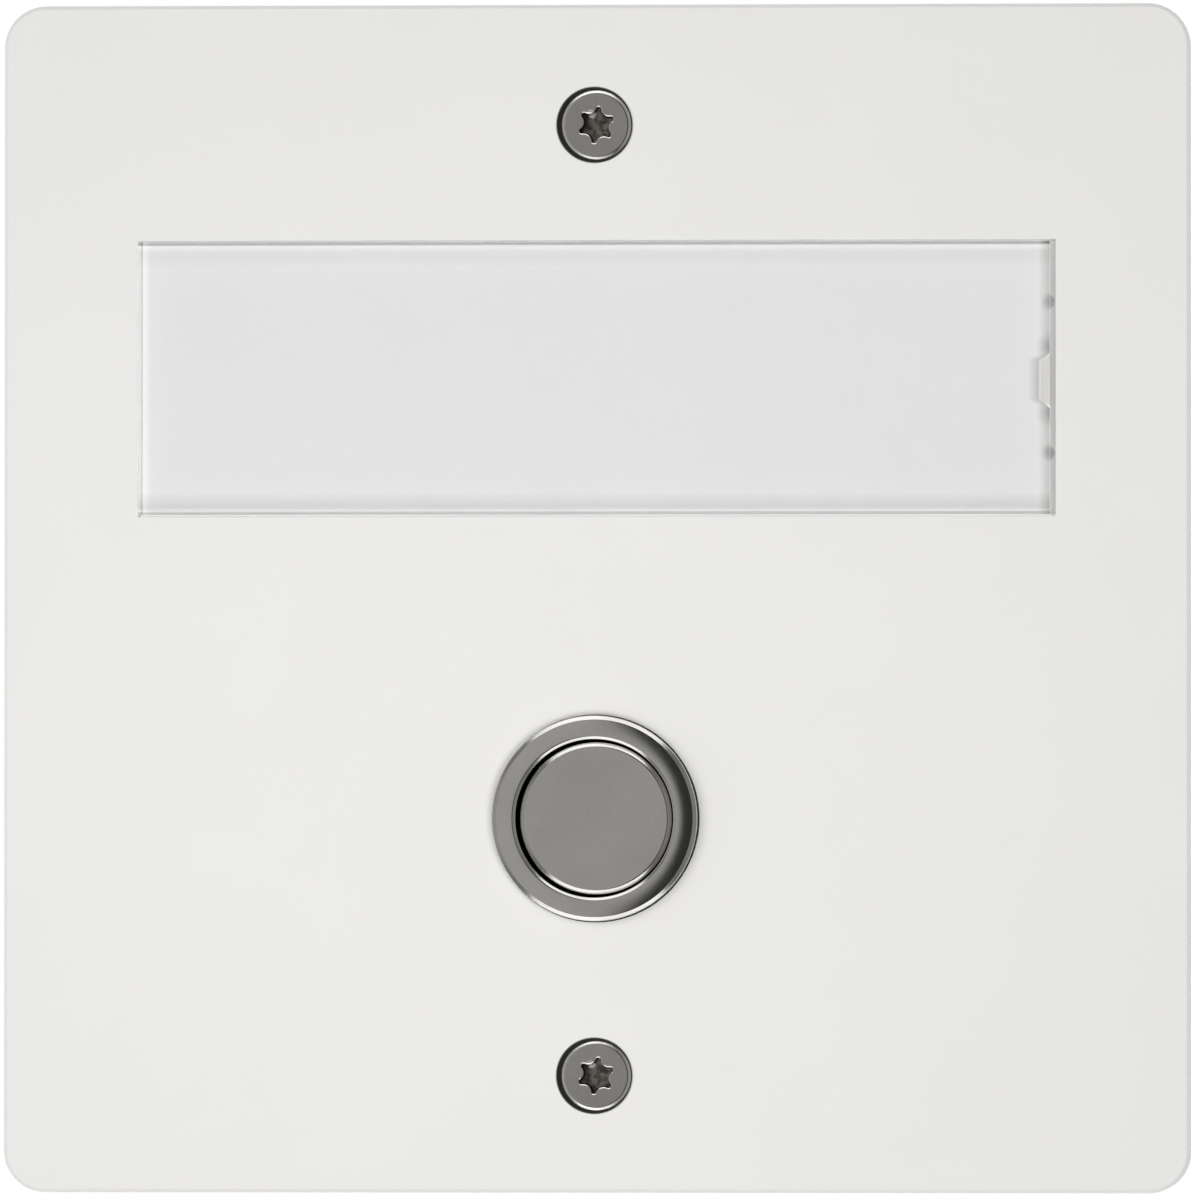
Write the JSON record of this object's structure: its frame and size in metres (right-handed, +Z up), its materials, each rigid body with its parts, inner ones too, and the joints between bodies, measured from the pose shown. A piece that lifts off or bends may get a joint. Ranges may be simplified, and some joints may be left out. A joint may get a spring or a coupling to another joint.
{
  "type": "wireless doorbell push plate",
  "caption": "Square wall plate with a clear name window and a turned push button, on a shallow box that holds a coin-cell radio sender for a wireless doorbell.",
  "frame": {"origin": "centre of the back of the wall box, on the wall", "axes": "+X to the right seen from the front, +Y into the wall, +Z up; the face looks to -Y"},
  "size_m": [0.085, 0.025, 0.085],
  "materials": {
    "plate_coat": "satin",
    "clear_acrylic": "gloss",
    "white_card": "matte",
    "tray_plastic": "matte",
    "bonding_tape": "matte",
    "turned_steel": "polished",
    "screw_steel": "polished",
    "spring_steel": "satin",
    "plated_steel": "satin",
    "black_rubber": "matte",
    "grey_foam": "matte",
    "black_plastic": "matte",
    "natural_plastic": "satin",
    "brass": "satin",
    "green_board": "satin",
    "bright_tin": "satin",
    "box_plastic": "matte"
  },
  "bodies": {
    "housing": {"front_plate": "plate_coat", "plate_screws": "screw_steel", "name_window": "clear_acrylic", "name_card": "white_card", "window_tray": "tray_plastic", "tray_tape": "bonding_tape", "button_bezel": "turned_steel", "bezel_gasket": "black_rubber", "lock_washer": "plated_steel", "bezel_nut": "plated_steel", "return_spring": "spring_steel", "switch_base": "black_plastic", "switch_terminals": "brass", "circuit_board": "green_board", "board_screws": "plated_steel", "radio_chip": "black_plastic", "resonator": "bright_tin", "chip_parts": "natural_plastic", "loop_antenna": "bright_tin", "cell_holder": "black_plastic", "cell_contact": "bright_tin", "coin_cell": "bright_tin", "cell_clip": "bright_tin", "back_box": "box_plastic", "box_seal": "grey_foam", "thread_inserts": "brass"},
    "button": {"button_cap": "turned_steel", "stem_clip": "spring_steel", "contact_carrier": "natural_plastic", "contact_bridge": "brass"}
  },
  "joints": [
    {"name": "button_press", "type": "slide", "parent": "housing", "child": "button", "axis": [0, 1, 0], "range_m": [0, 0.001], "stiffness_N_per_m": 1500, "springref_m": -0.001, "deforming": ["return_spring"]}
  ]
}
